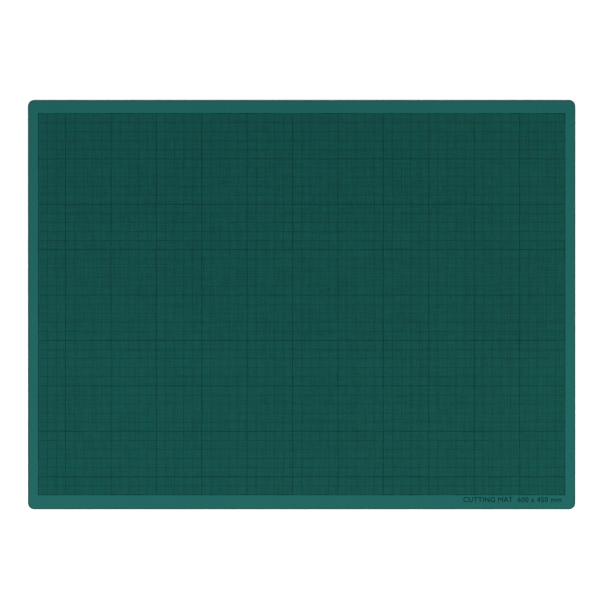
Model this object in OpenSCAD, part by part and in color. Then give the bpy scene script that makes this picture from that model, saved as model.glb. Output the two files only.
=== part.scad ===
// Self-healing cutting mat: five plies of PVC fused into one flexible sheet, with a measuring
// grid printed on its upper face.
// The origin is the middle of the underside, +X runs along the long side, +Y towards the back
// edge and +Z up. The size mark is read from the front edge.

/* [Mat] */
// Length of the mat, along X
mat_l = 603; // [423:10:903]
// Width of the mat, along Y
mat_w = 451; // [301:10:601]
// Radius of the mat's corners, seen from above
corner_r = 7; // [3:0.5:9]
// Radius that rounds the upper and lower edges
rim_r = 0.8; // [0.3:0.1:0.8]

/* [Plies] */
// Thickness of the soft self-healing sheet on each face
face_t = 0.9; // [0.9:0.1:1.2]
// Thickness of the cushion sheet under each face
cushion_t = 0.35; // [0.2:0.05:0.8]
// Thickness of the stiff core sheet
core_t = 0.5; // [0.3:0.1:1]

/* [Printed panel] */
// Distance from the panel to the mat's left and right edges
side_margin = 11.5; // [8:0.5:20]
// Distance from the panel to the mat's front edge, where the size mark is printed
front_margin = 16; // [14:1:20]
// Distance from the panel to the mat's back edge
back_margin = 15; // [8:1:20]
// Spacing of the heavy lines
heavy_pitch = 50; // [20:10:100]
// First heavy line, counted from the panel's left side
first_heavy_x = 30; // [10:10:50]
// First heavy line, counted from the panel's front side
first_heavy_y = 20; // [10:10:50]
// Width of a heavy line
heavy_line_w = 0.6; // [0.3:0.1:0.8]
// Width of the line round the panel
frame_line_w = 0.7; // [0.4:0.1:1]

/* [Size mark] */
// Length of the printed size mark
mark_l = 108; // [60:1:140]
// Height of its capitals
mark_h = 5.8; // [3:0.1:8]
// Gap between the panel and the size mark
mark_drop = 2.3; // [1:0.1:4]

/* [Hidden] */
$fn = 64;

// Heights of the joints between the plies, from the underside up
z_lower_cushion = face_t;
z_core = z_lower_cushion + cushion_t;
z_upper_cushion = z_core + core_t;
z_top = z_upper_cushion + cushion_t;
mat_t = z_top + face_t;

// The first pass of ink prints the fine lines and the size mark, the second the heavier lines
ink_t = 0.03;
z_second_pass = mat_t + ink_t;

// The panel's sides run along the middle of its frame line
panel_l = mat_l - 2 * side_margin;
panel_w = mat_w - front_margin - back_margin;
panel_y = (front_margin - back_margin) / 2;
panel_left = -panel_l / 2;
panel_front = panel_y - panel_w / 2;

// No heavy line comes closer than this to the panel's right or back side
line_gap = 5;
heavy_xs = [for (x = [first_heavy_x : heavy_pitch : panel_l - line_gap]) panel_left + x];
heavy_ys = [for (y = [first_heavy_y : heavy_pitch : panel_w - line_gap]) panel_front + y];

// The size mark stands under the panel's front right corner, this far in from its side
mark_inset = 4;
mark_left = panel_l / 2 - mark_inset - mark_l;
mark_front = panel_front - mark_drop - mark_h;
// Start and end of each of its words, as shares of the mark's length
mark_words = [
    [0, 0.32], [0.36, 0.50], [0.56, 0.66], [0.69, 0.73], [0.75, 0.86], [0.90, 1]
];

// The mat's outline in plan
module mat_outline() {
    square([mat_l, mat_w - 2 * corner_r], center = true);
    square([mat_l - 2 * corner_r, mat_w], center = true);
    for (x = [-1, 1], y = [-1, 1])
        translate([x * (mat_l / 2 - corner_r), y * (mat_w / 2 - corner_r)]) circle(corner_r);
}

// An inner ply: a plain sheet between two heights
module inner_ply(z, t) {
    translate([0, 0, z]) linear_extrude(t) mat_outline();
}

// Section of a face sheet: distance out from its middle against height, rounded at the top
module face_section(out) {
    square([out, face_t - rim_r]);
    square([out - rim_r, face_t]);
    translate([out - rim_r, face_t - rim_r]) intersection() {
        circle(rim_r);
        square(rim_r);
    }
}

// A strip of face sheet across the whole mat, rounded along both of its sides
module face_strip(l, w) {
    for (side = [0, 1]) mirror([0, side, 0])
        rotate([90, 0, 90]) linear_extrude(l, center = true) face_section(w / 2);
}

// A face sheet with its joint at the origin's height and its rounded face up
module face_ply() {
    face_strip(mat_l - 2 * corner_r, mat_w);
    rotate(90) face_strip(mat_w - 2 * corner_r, mat_l);
    for (x = [-1, 1], y = [-1, 1])
        translate([x * (mat_l / 2 - corner_r), y * (mat_w / 2 - corner_r), 0])
            rotate_extrude() face_section(corner_r);
}

// The panel in plan, grown outwards by a distance
module panel(grow) {
    translate([0, panel_y]) square([panel_l + 2 * grow, panel_w + 2 * grow], center = true);
}

module bottom_sheet() {
    color("#21655c") translate([0, 0, face_t]) mirror([0, 0, 1]) face_ply();
}

module lower_cushion_sheet() {
    color("#2c7468") inner_ply(z_lower_cushion, cushion_t);
}

module core_sheet() {
    color("#1d4f49") inner_ply(z_core, core_t);
}

module upper_cushion_sheet() {
    color("#2c7468") inner_ply(z_upper_cushion, cushion_t);
}

module top_sheet() {
    color("#21655c") translate([0, 0, z_top]) face_ply();
}

// The millimetre and centimetre lines lie close together, so one film of ink holds them all
module fine_lines() {
    color("#164e48") translate([0, 0, mat_t]) linear_extrude(ink_t) panel(frame_line_w / 2);
}

module heavy_lines() {
    color("#0a332f") translate([0, 0, z_second_pass]) linear_extrude(ink_t)
        intersection() {
            panel(-frame_line_w / 2);
            union() {
                for (x = heavy_xs) translate([x, panel_y])
                    square([heavy_line_w, panel_w], center = true);
                for (y = heavy_ys) translate([0, y])
                    square([panel_l, heavy_line_w], center = true);
            }
        }
}

module panel_frame_line() {
    color("#0a332f") translate([0, 0, z_second_pass]) linear_extrude(ink_t)
        difference() {
            panel(frame_line_w / 2);
            panel(-frame_line_w / 2);
        }
}

// One block of ink for each printed word
module size_mark() {
    color("#0a332f") translate([mark_left, mark_front, mat_t]) linear_extrude(ink_t)
        for (word = mark_words)
            translate([word[0] * mark_l, 0]) square([(word[1] - word[0]) * mark_l, mark_h]);
}

bottom_sheet();
lower_cushion_sheet();
core_sheet();
upper_cushion_sheet();
top_sheet();
fine_lines();
heavy_lines();
panel_frame_line();
size_mark();
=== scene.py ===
"""Self-healing cutting mat: the looks of its five plies and of the measuring grid printed on it.

The plies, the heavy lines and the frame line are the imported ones, with materials. The millimetre
and centimetre lines are modelled one by one, and the size mark is real lettering."""

import random

import bmesh
import bpy
from bpy.props import (
    FloatProperty, FloatVectorProperty, IntProperty, PointerProperty, StringProperty)
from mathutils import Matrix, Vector


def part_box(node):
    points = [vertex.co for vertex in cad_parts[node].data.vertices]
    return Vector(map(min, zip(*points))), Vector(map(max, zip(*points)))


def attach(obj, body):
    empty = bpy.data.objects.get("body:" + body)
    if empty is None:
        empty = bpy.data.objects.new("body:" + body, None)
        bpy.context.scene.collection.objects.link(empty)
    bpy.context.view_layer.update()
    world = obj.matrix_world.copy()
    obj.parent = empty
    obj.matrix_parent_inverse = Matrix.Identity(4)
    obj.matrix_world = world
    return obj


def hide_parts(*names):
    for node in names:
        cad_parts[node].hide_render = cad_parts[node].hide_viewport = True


bl_info = {
    "name": "Self-Healing Cutting Mat",
    "version": (1, 0, 0),
    "blender": (4, 5, 0),
    "location": "3D View > Sidebar > Cutting Mat",
    "description": "Finishes a laminated cutting mat and prints its measuring grid",
    "category": "Add Mesh",
}

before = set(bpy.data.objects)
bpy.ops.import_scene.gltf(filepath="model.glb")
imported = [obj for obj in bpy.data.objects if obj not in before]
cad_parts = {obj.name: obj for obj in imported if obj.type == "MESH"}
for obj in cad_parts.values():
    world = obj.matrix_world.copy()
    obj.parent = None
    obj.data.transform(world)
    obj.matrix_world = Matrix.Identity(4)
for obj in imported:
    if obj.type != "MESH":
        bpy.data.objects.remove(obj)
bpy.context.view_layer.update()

MM = 0.001
BODY = "root"

# The mat's outline and the printed panel, as packed.
MAT_LOW, MAT_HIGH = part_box("bottom_sheet")[0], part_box("top_sheet")[1]
FILM_LOW, FILM_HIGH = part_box("fine_lines")
INNER_LOW, INNER_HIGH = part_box("heavy_lines")
MARK_LOW, MARK_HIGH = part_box("size_mark")
FACE_Z = MAT_HIGH.z
INK_T = FILM_HIGH.z - FILM_LOW.z

# The panel's sides run along the middle of its frame line: the film of fine lines ends at that
# line's outer side, and the heavy lines at its inner side.
PANEL_LOW = (FILM_LOW + INNER_LOW) / 2
PANEL_HIGH = (FILM_HIGH + INNER_HIGH) / 2

# Radius of the corners in plan, and how far the rim's painted shade reaches in from the edge.
CORNER_R = 7 * MM
RIM_SHADE_REACH = 1.7 * MM
RIM_SHADE_DARKEST = 0.7 * MM

# Sizes of the materials' patterns.
MOTTLE = 150 * MM
PEBBLE = 1.5 * MM
EMBOSSING = 0.45 * MM
PEEL = 5 * MM
CUT_LENGTH = 6 * MM
CUT_SPACING = 0.12 * MM
PAPER_FIBRE = 2 * MM

# Sizes of the ink's paler stretches: along and across a fine line, on wider printing, and in depth,
# where the ink is so thin that it has only one tone.
FINE_STRETCH = 22 * MM
FINE_SPREAD = 0.8 * MM
HEAVY_STRETCH = 14 * MM
LETTER_STRETCH = 6 * MM
DEEP = 10 * MM

# How many times as bright as its ink each kind of printing is where it prints thinnest.
PALEST = {
    "millimetre": 3.9,
    "centimetre": 2.3,
    "heavy_lines": 1.8,
    "panel_frame_line": 3.0,
    "lettering": 1.35,
}

# Thickness of a fine line, as a share of a full pass of ink, what a crosswise line has more, and
# how much of its thickness its upper edges have lost by flowing.
LOAD = {"millimetre": 0.7, "centimetre": 0.9}
CROSSWISE_EXTRA = 0.1
EASE = 0.6

# The stage: the floor's side, a soft box's sides, and the heights in the sky, as shares of straight
# up, between which the light tent's wall gives way to its dark opening.
FLOOR_SIDE = 12
BOX_LENGTH, BOX_HEIGHT = 1.0, 0.7
WALL_TOP, OPENING_EDGE = 0.72, 0.86
OPENING_STRENGTH = 0.05
SENSOR_WIDTH = 36.0
FARTHEST_SEEN = 50


def linear(code):
    """Turns an sRGB hex colour into the linear values that shaders take."""
    shares = [int(code[i:i + 2], 16) / 255 for i in (1, 3, 5)]
    return tuple(s / 12.92 if s <= 0.04045 else ((s + 0.055) / 1.055) ** 2.4 for s in shares)


# Sizes and colours that a user would change


class PrintSettings(bpy.types.PropertyGroup):
    millimetre_width: FloatProperty(
        name="Millimetre line", description="Width of a printed millimetre line",
        default=0.21 * MM, min=0.05 * MM, max=0.5 * MM, precision=5, unit="LENGTH")
    centimetre_width: FloatProperty(
        name="Centimetre line", description="Width of a printed centimetre line",
        default=0.41 * MM, min=0.05 * MM, max=0.8 * MM, precision=5, unit="LENGTH")
    pitch: FloatProperty(
        name="Pitch", description="Distance from one millimetre line to the next",
        default=1 * MM, min=0.5 * MM, max=5 * MM, precision=5, unit="LENGTH")
    wander: FloatProperty(
        name="Wander", description="Share by which a line prints wider or narrower than meant",
        default=0.36, min=0, max=0.5, subtype="FACTOR")
    seed: IntProperty(
        name="Seed", description="Starts the random choice of the lines' widths",
        default=7, min=0)


class LetteringSettings(bpy.types.PropertyGroup):
    words: StringProperty(
        name="Words", description="The printed size mark",
        default="CUTTING MAT  600 x 450 mm")
    spacing: FloatProperty(
        name="Letter spacing", description="Spacing of the letters, 1 being the typeface's own",
        default=1.08, min=0.8, max=1.5, subtype="FACTOR")
    weight: FloatProperty(
        name="Letter weight",
        description="Growth of the letters' strokes, as a share of their size",
        default=0.014, min=0, max=0.04, subtype="FACTOR")


class FinishSettings(bpy.types.PropertyGroup):
    face_colour: FloatVectorProperty(
        name="Face sheet", description="Colour of the soft sheet on each face",
        default=linear("#135852"), size=3, min=0, max=1, subtype="COLOR")
    cushion_colour: FloatVectorProperty(
        name="Cushion sheet", description="Colour of the cushion sheets' cut edges",
        default=linear("#14675c"), size=3, min=0, max=1, subtype="COLOR")
    core_colour: FloatVectorProperty(
        name="Core sheet", description="Colour of the core sheet's cut edge",
        default=linear("#0b3a36"), size=3, min=0, max=1, subtype="COLOR")
    ink_colour: FloatVectorProperty(
        name="Ink", description="Colour of the printed lines and letters",
        default=linear("#01211d"), size=3, min=0, max=1, subtype="COLOR")


class StageSettings(bpy.types.PropertyGroup):
    view_width: FloatProperty(
        name="View width", description="Width of floor that the camera takes in",
        default=669.6 * MM, min=0.1, max=5, precision=4, unit="LENGTH")
    offset_x: FloatProperty(
        name="Camera offset X", description="Distance of the camera from the mat's middle along X",
        default=2.6 * MM, min=-0.1, max=0.1, precision=4, unit="LENGTH")
    offset_y: FloatProperty(
        name="Camera offset Y", description="Distance of the camera from the mat's middle along Y",
        default=0.7 * MM, min=-0.1, max=0.1, precision=4, unit="LENGTH")
    lens: FloatProperty(
        name="Lens", description="Focal length, in millimetres",
        default=200, min=20, max=400)
    side_power: FloatProperty(
        name="Side lights", description="Power of each of the two side soft boxes, in watts",
        default=6.3, min=0, max=500)
    front_power: FloatProperty(
        name="Front light", description="Power of the front soft box, in watts",
        default=10.5, min=0, max=500)
    world_strength: FloatProperty(
        name="Surround", description="Strength of the light that the pale surround gives",
        default=1.25, min=0, max=5)


# Working tools


def deselect_all():
    for piece in bpy.context.selected_objects:
        piece.select_set(False)


def select_only(pieces):
    deselect_all()
    for piece in pieces:
        piece.select_set(True)
    bpy.context.view_layer.objects.active = pieces[0]


def apply_place(piece):
    """Leaves the object at the origin, unturned and unscaled, with its place in its mesh."""
    select_only([piece])
    bpy.ops.object.transform_apply(location=True, rotation=True, scale=True)


def edit_edges(piece, chosen, work):
    """Runs a piece of edit-mode work with just the chosen edges selected."""
    select_only([piece])
    bpy.ops.object.mode_set(mode="EDIT")
    bpy.ops.mesh.select_mode(type="EDGE")
    bpy.ops.mesh.select_all(action="DESELECT")
    shape = bmesh.from_edit_mesh(piece.data)
    for edge in shape.edges:
        edge.select_set(chosen(edge))
    bmesh.update_edit_mesh(piece.data)
    work()
    bpy.ops.object.mode_set(mode="OBJECT")


def finish_piece(piece, name, material, stands_for=()):
    """Names a finished piece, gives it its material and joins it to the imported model."""
    piece.name = piece.data.name = name
    piece.data.materials.clear()
    piece.data.materials.append(material)
    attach(piece, BODY)
    if stands_for:
        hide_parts(*stands_for)


def new_material(name):
    """A material with no nodes yet."""
    material = bpy.data.materials.new(name)
    material.use_nodes = True
    material.node_tree.nodes.clear()
    return material


def add(material, kind, settings=None, **inputs):
    """Adds a node to a material or world. settings are the node's own options. Each input is named,
    or numbered as _0, and takes a value or another node's output."""
    tree = material.node_tree
    node = tree.nodes.new("ShaderNode" + kind)
    for option, value in (settings or {}).items():
        setattr(node, option, value)
    for name, value in inputs.items():
        key = int(name[1:]) if name[1:].isdigit() else name.replace("_", " ")
        socket = node.inputs[key]
        if isinstance(value, bpy.types.NodeSocket):
            tree.links.new(value, socket)
        else:
            socket.default_value = value
    return node


# Materials


def outline_distance(material, place):
    """How far a point lies outside the mat's outline in plan, in metres, negative inside it."""
    middle = (MAT_LOW + MAT_HIGH) / 2
    half = (MAT_HIGH - MAT_LOW) / 2
    offset = add(material, "VectorMath", {"operation": "SUBTRACT"}, _0=place, _1=middle)
    folded = add(material, "VectorMath", {"operation": "ABSOLUTE"}, _0=offset.outputs[0])
    corner = (half.x - CORNER_R, half.y - CORNER_R, 1)
    past = add(material, "VectorMath", {"operation": "SUBTRACT"}, _0=folded.outputs[0], _1=corner)
    outer = add(material, "VectorMath", {"operation": "MAXIMUM"}, _0=past.outputs[0], _1=(0, 0, 0))
    reach = add(material, "VectorMath", {"operation": "LENGTH"}, _0=outer.outputs[0])
    split = add(material, "SeparateXYZ", Vector=past.outputs[0])
    deeper = add(material, "Math", {"operation": "MAXIMUM"},
                 _0=split.outputs["X"], _1=split.outputs["Y"])
    inside = add(material, "Math", {"operation": "MINIMUM"}, _0=deeper.outputs[0], _1=0.0)
    total = add(material, "Math", {"operation": "ADD"},
                _0=reach.outputs["Value"], _1=inside.outputs[0])
    distance = add(material, "Math", {"operation": "SUBTRACT"}, _0=total.outputs[0], _1=CORNER_R)
    return distance.outputs[0]


def panel_mask(material, place):
    """1 within the printed panel and 0 outside it."""
    middle = (PANEL_LOW + PANEL_HIGH) / 2
    half = (PANEL_HIGH - PANEL_LOW) / 2
    offset = add(material, "VectorMath", {"operation": "SUBTRACT"}, _0=place, _1=middle)
    folded = add(material, "VectorMath", {"operation": "ABSOLUTE"}, _0=offset.outputs[0])
    split = add(material, "SeparateXYZ", Vector=folded.outputs[0])
    within_x = add(material, "Math", {"operation": "LESS_THAN"}, _0=split.outputs["X"], _1=half.x)
    within_y = add(material, "Math", {"operation": "LESS_THAN"}, _0=split.outputs["Y"], _1=half.y)
    return add(material, "Math", {"operation": "MULTIPLY"},
               _0=within_x.outputs[0], _1=within_y.outputs[0]).outputs[0]


def shade(material, colour, factor, red, green=None, blue=None):
    """Multiplies a colour by these shares where factor is 1 and leaves it where factor is 0."""
    green, blue = green or red, blue or red
    mix = add(material, "Mix", {"data_type": "RGBA", "blend_type": "MULTIPLY"},
              _0=factor, _6=colour, _7=(red, green, blue, 1))
    return mix.outputs[2]


def soft_pvc(name, colour, printed):
    """Calendered soft PVC: matt, with a pebbled grain from the embossing roll and a faint mottling
    of the pigment. The rim is darker by painted shade, where the rounded edge turns from the light."""
    material = new_material(name)
    place = add(material, "TexCoord").outputs["Object"]
    mottle = add(material, "TexNoise", Vector=place, Scale=1 / MOTTLE, Detail=2.0, Roughness=0.6)
    tone = add(material, "MapRange", Value=mottle.outputs["Fac"],
               _1=0.3, _2=0.7, _3=0.0, _4=1.0)
    mottled = shade(material, (*colour, 1), tone.outputs[0], 0.93, 0.93, 0.98)
    # The real grain is about 0.3 mm across, too fine to show, so its tone is drawn coarser.
    speckle = add(material, "TexNoise", Vector=place, Scale=1 / PEBBLE, Detail=2.0)
    pebble = add(material, "MapRange", Value=speckle.outputs["Fac"],
                 _1=0.3, _2=0.7, _3=0.0, _4=1.0)
    grained = shade(material, mottled, pebble.outputs[0], 0.8)
    # Painted shade: the colour darkens towards the mat's edge, where its rounded rim turns from the
    # light.
    rim_shade = add(material, "MapRange", Value=outline_distance(material, place),
              _1=-RIM_SHADE_REACH, _2=-RIM_SHADE_DARKEST, _3=0.0, _4=1.0)
    shown = shade(material, grained, rim_shade.outputs[0], 0.45)
    if printed:
        # Light spreads inside the sheet and is lost under the ink, so the PVC between the lines
        # looks darker. The haze runs from a bluer green at the left to a yellower one at the right.
        panel = panel_mask(material, place)
        left = shade(material, shown, panel, 0.48, 0.725, 0.735)
        right = shade(material, shown, panel, 0.48, 0.76, 0.675)
        split = add(material, "SeparateXYZ", Vector=place)
        across = add(material, "MapRange", Value=split.outputs["X"],
                     _1=PANEL_LOW.x, _2=PANEL_HIGH.x, _3=0.0, _4=1.0)
        shown = add(material, "Mix", {"data_type": "RGBA"},
                    _0=across.outputs[0], _6=left, _7=right).outputs[2]
    grain = add(material, "TexVoronoi", Vector=place, Scale=1 / EMBOSSING)
    peel = add(material, "TexNoise", Vector=place, Scale=1 / PEEL, Detail=2.0)
    coarse = add(material, "Bump", Strength=0.25, Distance=0.06 * MM, Height=peel.outputs["Fac"])
    fine = add(material, "Bump", Strength=0.35, Distance=0.02 * MM,
               Height=grain.outputs["Distance"], Normal=coarse.outputs["Normal"])
    sheen = add(material, "MapRange", Value=speckle.outputs["Fac"], _3=0.58, _4=0.7)
    shader = add(material, "BsdfPrincipled", Base_Color=shown, Roughness=sheen.outputs[0],
                 IOR=1.53, Specular_IOR_Level=0.09, Normal=fine.outputs["Normal"])
    add(material, "OutputMaterial", Surface=shader.outputs["BSDF"])
    return material


def cut_edge_pvc(name, colour, roughness):
    """A hidden ply, of which only the die-cut edge shows: fine drag lines along the cut."""
    material = new_material(name)
    place = add(material, "TexCoord").outputs["Object"]
    drawn = add(material, "Mapping", Vector=place,
                Scale=(1 / CUT_LENGTH, 1 / CUT_LENGTH, 1 / CUT_SPACING))
    drag = add(material, "TexNoise", Vector=drawn.outputs["Vector"], Scale=1.0, Detail=3.0)
    shown = shade(material, (*colour, 1), drag.outputs["Fac"], 0.8)
    relief = add(material, "Bump", Strength=0.4, Distance=0.02 * MM, Height=drag.outputs["Fac"])
    finish = add(material, "MapRange", Value=drag.outputs["Fac"],
                 _3=roughness - 0.06, _4=roughness + 0.06)
    shader = add(material, "BsdfPrincipled", Base_Color=shown, Roughness=finish.outputs[0],
                 IOR=1.53, Specular_IOR_Level=0.3, Normal=relief.outputs["Normal"])
    add(material, "OutputMaterial", Surface=shader.outputs["BSDF"])
    return material


def screen_ink(name, colour, stretches, lightest):
    """Vinyl screen ink: thin and matt, and paler where the squeegee left less of it. lightest is
    how many times as bright it is there. stretches are the sizes of those places by axis, drawn
    larger than the real ones, which are too small to show."""
    material = new_material(name)
    place = add(material, "TexCoord").outputs["Object"]
    # The pattern is turned, so that its own lattice doesn't fall in step with the lines.
    drawn = add(material, "Mapping", Vector=place, Rotation=(0.4, 0.5, 0.6),
                Scale=[1 / size for size in stretches])
    load = add(material, "TexNoise", Vector=drawn.outputs["Vector"], Scale=1.0, Detail=2.0)
    full = add(material, "MapRange", Value=load.outputs["Fac"],
               _1=0.35, _2=0.65, _3=0.0, _4=1.0)
    palest = (*(min(1, share * lightest) for share in colour), 1)
    shown = shade(material, palest, full.outputs[0], 1 / lightest)
    finish = add(material, "MapRange", Value=load.outputs["Fac"], _3=0.54, _4=0.66)
    shader = add(material, "BsdfPrincipled", Base_Color=shown, Roughness=finish.outputs[0],
                 IOR=1.5, Specular_IOR_Level=0.03)
    add(material, "OutputMaterial", Surface=shader.outputs["BSDF"])
    return material


def floor_finish():
    """Pale seamless paper: plain, matt and nearly white."""
    material = new_material("seamless_paper")
    place = add(material, "TexCoord").outputs["Object"]
    fibre = add(material, "TexNoise", Vector=place, Scale=1 / PAPER_FIBRE, Detail=2.0)
    shown = shade(material, (*linear("#fafafa"), 1), fibre.outputs["Fac"], 0.99)
    shader = add(material, "BsdfPrincipled", Base_Color=shown, Roughness=0.9)
    add(material, "OutputMaterial", Surface=shader.outputs["BSDF"])
    return material


# Printed lines


def ink_bar(width, thickness, axis):
    """Models one printed line, as long as the panel along its axis: a flat bar of ink whose upper
    edges have flowed round. It lies at zero across its axis, for its copies to be moved from."""
    middle = (PANEL_LOW + PANEL_HIGH) / 2
    size = Vector((width, width, thickness))
    size[axis] = FILM_HIGH[axis] - FILM_LOW[axis]
    place = Vector((0, 0, FACE_Z + thickness / 2))
    place[axis] = middle[axis]
    deselect_all()
    bpy.ops.mesh.primitive_cube_add(size=1, location=place, scale=size)
    bar = bpy.context.object
    apply_place(bar)
    top = max(v.co.z for v in bar.data.vertices)
    edit_edges(
        bar,
        lambda edge: all(v.co.z > top - thickness / 2 for v in edge.verts)
        and abs(edge.verts[0].co[axis] - edge.verts[1].co[axis]) > width,
        lambda: bpy.ops.mesh.bevel(offset=thickness * EASE, segments=1))
    return bar


def print_lines(name, places, width, thickness, axis, wander, chance):
    """Prints lines that run along an axis at these places across it, as one piece. Each is wider or
    narrower than meant by a share of up to wander."""
    across = 1 - axis
    master = ink_bar(width, thickness, axis)
    lines = []
    for place in places:
        line = master.copy()
        line.data = master.data.copy()
        line.location[across] = place
        line.scale[across] = 1 + chance.uniform(-wander, wander)
        bpy.context.collection.objects.link(line)
        lines.append(line)
    bpy.data.objects.remove(master)
    select_only(lines)
    bpy.ops.object.join()
    piece = bpy.context.object
    apply_place(piece)
    piece.name = name
    return piece


def line_places(axis, pitch, centimetres):
    """Places of the centimetre lines, or of the millimetre lines between them, across the panel."""
    count = round((PANEL_HIGH[axis] - PANEL_LOW[axis]) / pitch)
    return [PANEL_LOW[axis] + i * pitch for i in range(count + 1) if (i % 10 == 0) == centimetres]


# Operators


class MAT_OT_finish_plies(bpy.types.Operator):
    """Gives the five packed plies their PVC finishes"""
    bl_idname = "cutting_mat.finish_plies"
    bl_label = "Finish Plies"

    def execute(self, context):
        finish = context.scene.mat_finish
        cushion = cut_edge_pvc("cushion_pvc_die_cut", finish.cushion_colour, 0.6)
        finishes = {
            "top_sheet": soft_pvc("calendered_soft_pvc_printed_face", finish.face_colour, True),
            "bottom_sheet": soft_pvc("calendered_soft_pvc_plain_face", finish.face_colour, False),
            "upper_cushion_sheet": cushion,
            "lower_cushion_sheet": cushion,
            "core_sheet": cut_edge_pvc("rigid_pvc_die_cut", finish.core_colour, 0.45),
        }
        for node, material in finishes.items():
            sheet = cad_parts[node]
            sheet.data.materials.clear()
            sheet.data.materials.append(material)
        return {"FINISHED"}


class MAT_OT_print_fine_lines(bpy.types.Operator):
    """Prints the millimetre and centimetre lines on the top sheet"""
    bl_idname = "cutting_mat.print_fine_lines"
    bl_label = "Print Fine Lines"

    def execute(self, context):
        settings = context.scene.mat_print
        colour = context.scene.mat_finish.ink_colour
        chance = random.Random(settings.seed)
        runs = {"lengthwise": 0, "crosswise": 1}
        for run, axis in runs.items():
            stretches = [FINE_SPREAD, FINE_SPREAD, DEEP]
            stretches[axis] = FINE_STRETCH
            # A wide line takes more ink than a narrow one, prints more evenly and wanders by a
            # smaller share of its width. Lines that cross never have the same thickness, so that
            # one always lies on top.
            for family, width, wander in (
                ("millimetre", settings.millimetre_width, settings.wander),
                ("centimetre", settings.centimetre_width, settings.wander / 4),
            ):
                ink = screen_ink(f"vinyl_ink_{family}_{run}", colour, stretches, PALEST[family])
                thickness = INK_T * (LOAD[family] + CROSSWISE_EXTRA * axis)
                places = line_places(1 - axis, settings.pitch, family == "centimetre")
                piece = print_lines(
                    f"{family}_lines_{run}", places, width, thickness, axis, wander, chance)
                finish_piece(piece, f"{family}_lines_{run}", ink, ["fine_lines"])
        return {"FINISHED"}


class MAT_OT_print_heavy_lines(bpy.types.Operator):
    """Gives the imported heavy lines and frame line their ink"""
    bl_idname = "cutting_mat.print_heavy_lines"
    bl_label = "Print Heavy Lines"

    def execute(self, context):
        # The frame line, at the very edge of the screen, takes less ink than the lines within it.
        for node in ("heavy_lines", "panel_frame_line"):
            ink = screen_ink(f"vinyl_ink_{node}", context.scene.mat_finish.ink_colour,
                             [HEAVY_STRETCH, HEAVY_STRETCH, DEEP], PALEST[node])
            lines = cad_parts[node]
            lines.data.materials.clear()
            lines.data.materials.append(ink)
        return {"FINISHED"}


class MAT_OT_print_size_mark(bpy.types.Operator):
    """Prints the size mark in the front margin"""
    bl_idname = "cutting_mat.print_size_mark"
    bl_label = "Print Size Mark"

    def execute(self, context):
        settings = context.scene.mat_lettering
        deselect_all()
        bpy.ops.object.text_add()
        text = context.object
        text.data.body = settings.words
        text.data.size = 1
        text.data.space_character = settings.spacing
        # Any depth will do here, because the letters are then scaled to the space packed for them.
        text.data.extrude = 0.01
        text.data.bevel_depth = settings.weight
        text.data.bevel_resolution = 0
        text.data.resolution_u = 4
        bpy.ops.object.convert(target="MESH")
        mark = context.object
        corners = [v.co for v in mark.data.vertices]
        low = Vector([min(c[i] for c in corners) for i in range(3)])
        high = Vector([max(c[i] for c in corners) for i in range(3)])
        for i in range(3):
            mark.scale[i] = (MARK_HIGH[i] - MARK_LOW[i]) / (high[i] - low[i])
            mark.location[i] = MARK_LOW[i] - low[i] * mark.scale[i]
        apply_place(mark)
        ink = screen_ink("vinyl_ink_lettering", context.scene.mat_finish.ink_colour,
                         [LETTER_STRETCH, LETTER_STRETCH, DEEP], PALEST["lettering"])
        finish_piece(mark, "size_mark_lettering", ink, ["size_mark"])
        return {"FINISHED"}


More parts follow.
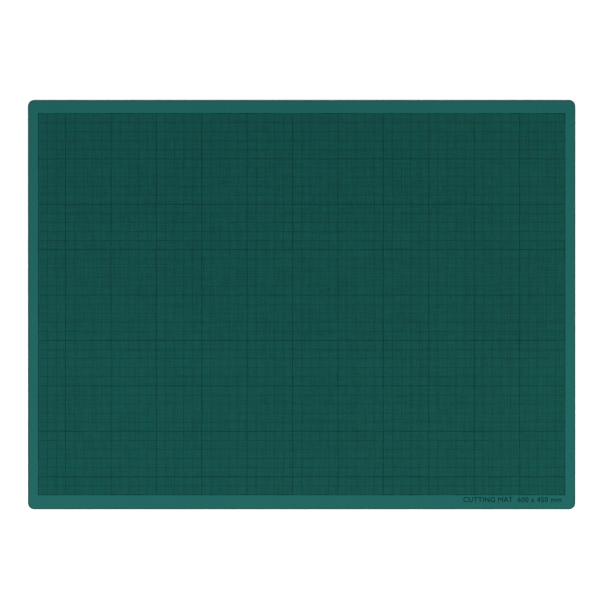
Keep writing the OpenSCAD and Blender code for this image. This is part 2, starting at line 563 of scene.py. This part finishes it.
class MAT_OT_set_stage(bpy.types.Operator):
    """Sets the floor, the lights and the camera straight above the mat"""
    bl_idname = "cutting_mat.set_stage"
    bl_label = "Set Stage"

    def execute(self, context):
        settings = context.scene.mat_stage
        deselect_all()
        # The floor lies just below the mat, so that the two faces don't coincide.
        bpy.ops.mesh.primitive_plane_add(size=FLOOR_SIDE, location=(0, 0, MAT_LOW.z - 0.02 * MM))
        floor = context.object
        floor.name = "floor"
        floor.data.materials.append(floor_finish())

        # The boxes stand low, so that their gloss goes past the camera, and cast no shadows of
        # their own: the tent round them gives the only one, a soft one at the mat's foot.
        boxes = (
            ("soft_box_left", (-1.0, -0.15, 0.55), settings.side_power),
            ("soft_box_right", (1.0, -0.15, 0.55), settings.side_power),
            ("soft_box_front", (0, -1.2, 0.5), settings.front_power),
        )
        for name, place, power in boxes:
            bpy.ops.object.light_add(type="AREA", location=place)
            box = context.object
            box.name = name
            box.data.energy = power
            box.data.shape = "RECTANGLE"
            box.data.size, box.data.size_y = BOX_LENGTH, BOX_HEIGHT
            box.data.use_shadow = False
            box.rotation_euler = (-box.location).to_track_quat("-Z", "Y").to_euler()

        # A light tent: white walls all round, open and dark above, where the camera looks in. Its
        # walls fill the shadows, and its opening leaves no grey veil on the mat.
        world = bpy.data.worlds.new("pale_surround")
        world.use_nodes = True
        world.node_tree.nodes.clear()
        height = add(world, "SeparateXYZ", Vector=add(world, "TexCoord").outputs["Generated"])
        wall = add(world, "MapRange", Value=height.outputs["Z"],
                   _1=WALL_TOP, _2=OPENING_EDGE, _3=settings.world_strength, _4=OPENING_STRENGTH)
        seen = add(world, "LightPath").outputs["Is Camera Ray"]
        strength = add(world, "MapRange", Value=seen, _3=wall.outputs[0], _4=1.0)
        surround = add(world, "Background", Color=(1, 1, 1, 1), Strength=strength.outputs[0])
        add(world, "OutputWorld", Surface=surround.outputs[0])
        context.scene.world = world
        context.scene.view_settings.view_transform = "Standard"

        distance = settings.view_width * settings.lens / SENSOR_WIDTH
        bpy.ops.object.camera_add(
            location=(settings.offset_x, settings.offset_y, FACE_Z + distance), rotation=(0, 0, 0))
        camera = context.object
        camera.name = "overhead_camera"
        camera.data.sensor_width = SENSOR_WIDTH
        camera.data.lens = settings.lens
        camera.data.clip_end = FARTHEST_SEEN
        context.scene.camera = camera
        return {"FINISHED"}


class MAT_PT_sidebar(bpy.types.Panel):
    """Lists the steps that finish the mat"""
    bl_idname = "MAT_PT_sidebar"
    bl_label = "Cutting Mat"
    bl_space_type = "VIEW_3D"
    bl_region_type = "UI"
    bl_category = "Cutting Mat"

    def draw(self, context):
        for step in STEPS:
            self.layout.operator(step.bl_idname)
        for group in SETTINGS:
            for name in SETTINGS[group].__annotations__:
                self.layout.prop(getattr(context.scene, group), name)


STEPS = (
    MAT_OT_finish_plies,
    MAT_OT_print_fine_lines,
    MAT_OT_print_heavy_lines,
    MAT_OT_print_size_mark,
    MAT_OT_set_stage,
)
SETTINGS = {
    "mat_print": PrintSettings,
    "mat_lettering": LetteringSettings,
    "mat_finish": FinishSettings,
    "mat_stage": StageSettings,
}


def register():
    for group in SETTINGS.values():
        bpy.utils.register_class(group)
    for name, group in SETTINGS.items():
        setattr(bpy.types.Scene, name, PointerProperty(type=group))
    for step in STEPS:
        bpy.utils.register_class(step)
    bpy.utils.register_class(MAT_PT_sidebar)


def unregister():
    bpy.utils.unregister_class(MAT_PT_sidebar)
    for step in STEPS:
        bpy.utils.unregister_class(step)
    for name in SETTINGS:
        delattr(bpy.types.Scene, name)
    for group in SETTINGS.values():
        bpy.utils.unregister_class(group)


def main():
    register()
    bpy.ops.cutting_mat.finish_plies()
    bpy.ops.cutting_mat.print_fine_lines()
    bpy.ops.cutting_mat.print_heavy_lines()
    bpy.ops.cutting_mat.print_size_mark()
    bpy.ops.cutting_mat.set_stage()


if __name__ == "__main__":
    main()
